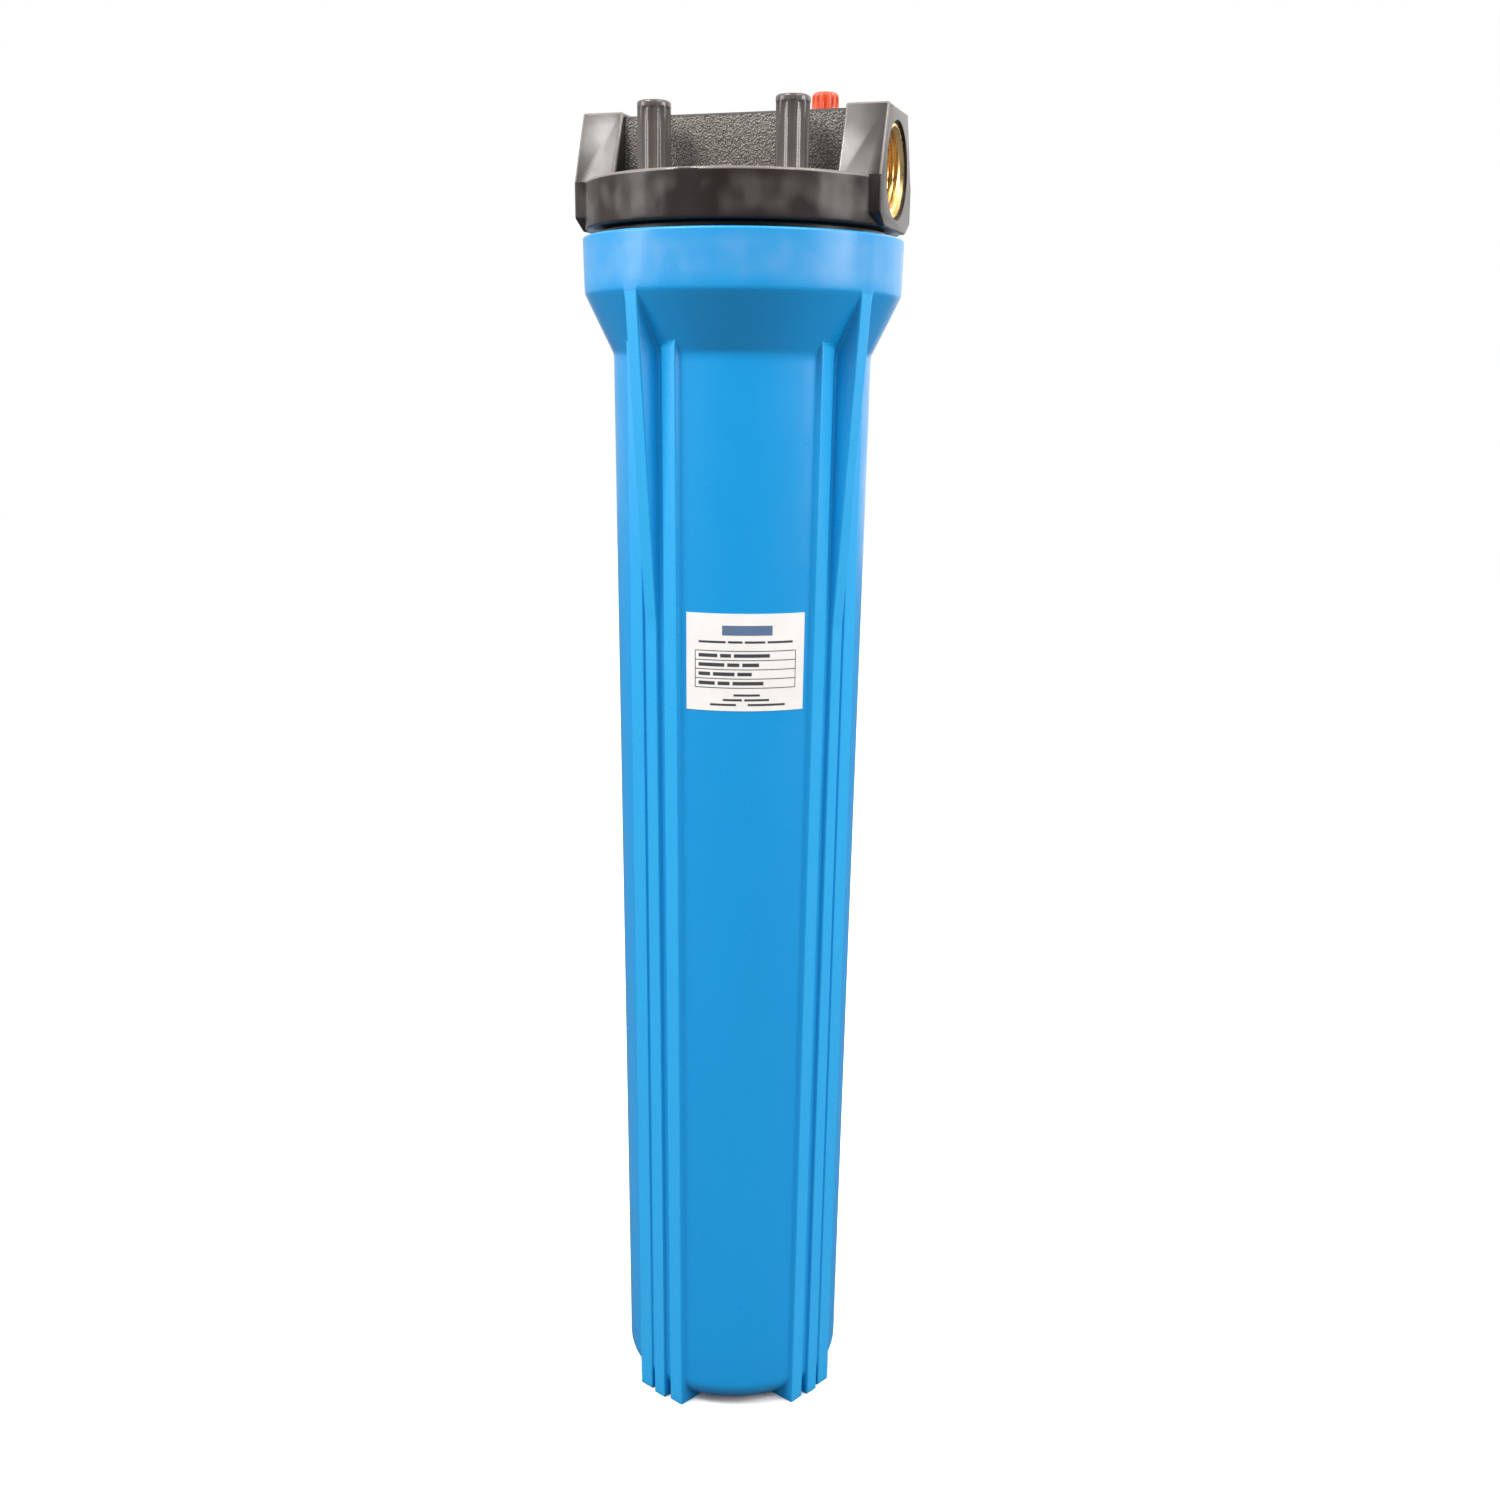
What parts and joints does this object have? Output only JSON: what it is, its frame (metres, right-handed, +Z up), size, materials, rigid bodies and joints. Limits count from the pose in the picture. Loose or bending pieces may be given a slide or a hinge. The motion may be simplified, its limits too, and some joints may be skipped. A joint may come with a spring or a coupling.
{
  "type": "cartridge filter housing",
  "caption": "Tall in-line water filter housing: blue ribbed screw-on sump, black ported head with brass threads, red relief button and a pleated drop-in cartridge.",
  "frame": {"origin": "on the surface the feet stand on, under the sump's axis", "axes": "+Z up along the sump's axis; +X along the ports towards the inlet"},
  "size_m": [0.1382, 0.1382, 0.6055],
  "materials": {
    "sump": "satin moulded polypropylene",
    "head": "satin, pebbled on the bridge",
    "button": "satin",
    "label": "coated paper",
    "brass": "machined",
    "steel": "drawn",
    "seal": "matte",
    "cartridge_gasket": "matte",
    "cartridge_plastic": "moulded",
    "cartridge_media": "pleated polyester"
  },
  "bodies": {
    "sump": {"sump": "sump", "sump_o_ring": "seal", "label": "label"},
    "cartridge": {"cartridge_bottom_gasket": "cartridge_gasket", "cartridge_bottom_cap": "cartridge_plastic", "cartridge_lower_core": "cartridge_plastic", "cartridge_lower_media": "cartridge_media", "cartridge_lower_netting": "cartridge_plastic", "cartridge_joiner": "cartridge_plastic", "cartridge_upper_core": "cartridge_plastic", "cartridge_upper_media": "cartridge_media", "cartridge_upper_netting": "cartridge_plastic", "cartridge_top_cap": "cartridge_plastic", "cartridge_top_gasket": "cartridge_gasket"},
    "head": {"head": "head", "inlet_insert": "brass", "outlet_insert": "brass", "relief_spring": "steel"},
    "relief_valve": {"relief_button": "button", "relief_stem": "steel", "relief_o_ring": "seal"}
  },
  "joints": [
    {"name": "head_turn", "type": "hinge", "parent": "sump", "child": "cartridge", "pos_m": [0, 0, 0], "axis": [0, 0, 1], "range_deg": [0, 990]},
    {"name": "head_rise", "type": "slide", "parent": "cartridge", "child": "head", "axis": [0, 0, 1], "range_m": [0, 0.0175]},
    {"name": "relief_press", "type": "slide", "parent": "head", "child": "relief_valve", "axis": [0, 0, -1], "range_m": [0, 0.0025], "stiffness_N_per_m": 1500, "springref_m": -0.001, "deforming": ["relief_spring"]}
  ],
  "couplings": [
    {"joint": "head_rise", "follows": "head_turn", "m_per_rad": 0.0010106}
  ]
}
